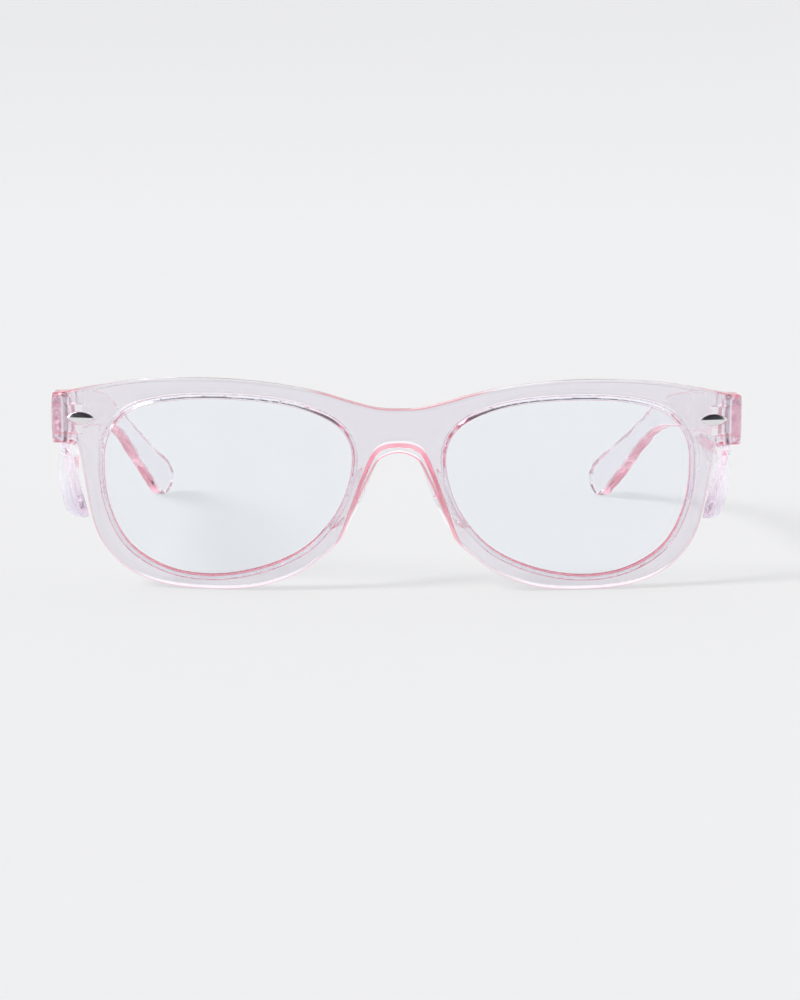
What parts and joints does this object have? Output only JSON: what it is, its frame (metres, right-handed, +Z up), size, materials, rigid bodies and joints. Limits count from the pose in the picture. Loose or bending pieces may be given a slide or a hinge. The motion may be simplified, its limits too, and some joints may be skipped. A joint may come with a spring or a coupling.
{
  "type": "blue_light_glasses",
  "caption": "Clear pink moulded blue light glasses with soft rectangular rims, faint blue lenses, folding temples on screw hinges, clear side shields and almond rivets.",
  "frame": {"origin": "the middle of the surface that the open glasses stand on, at the centre of their bounding box seen from above", "axes": "+Z up, the lens front faces -Y, the open temples run back along +Y, and +X is the wearer's left"},
  "size_m": [0.15, 0.1544, 0.0451],
  "materials": {
    "pink_frame": "crystal clear pink moulded polycarbonate, glossy, deeper pink along its edges",
    "lens": "clear polycarbonate lens with a faint blue tint and a hard coating",
    "shield": "clear moulded polycarbonate with a faint lavender edge",
    "steel": "polished steel"
  },
  "bodies": {
    "front": {"front_frame": "pink_frame", "lens_right": "lens", "lens_left": "lens", "rivet_right": "steel", "rivet_left": "steel", "hinge_screw_right": "steel", "hinge_screw_left": "steel"},
    "temple_right": {"temple_right": "pink_frame", "side_shield_right": "shield"},
    "temple_left": {"temple_left": "pink_frame", "side_shield_left": "shield"}
  },
  "joints": [
    {"name": "right_temple_fold", "type": "hinge", "parent": "front", "child": "temple_right", "pos_m": [-0.0714, -0.06305, 0.0357], "axis": [0, 0, -1], "range_deg": [0, 85]},
    {"name": "left_temple_fold", "type": "hinge", "parent": "front", "child": "temple_left", "pos_m": [0.0714, -0.06305, 0.0357], "axis": [0, 0, 1], "range_deg": [0, 76]}
  ]
}
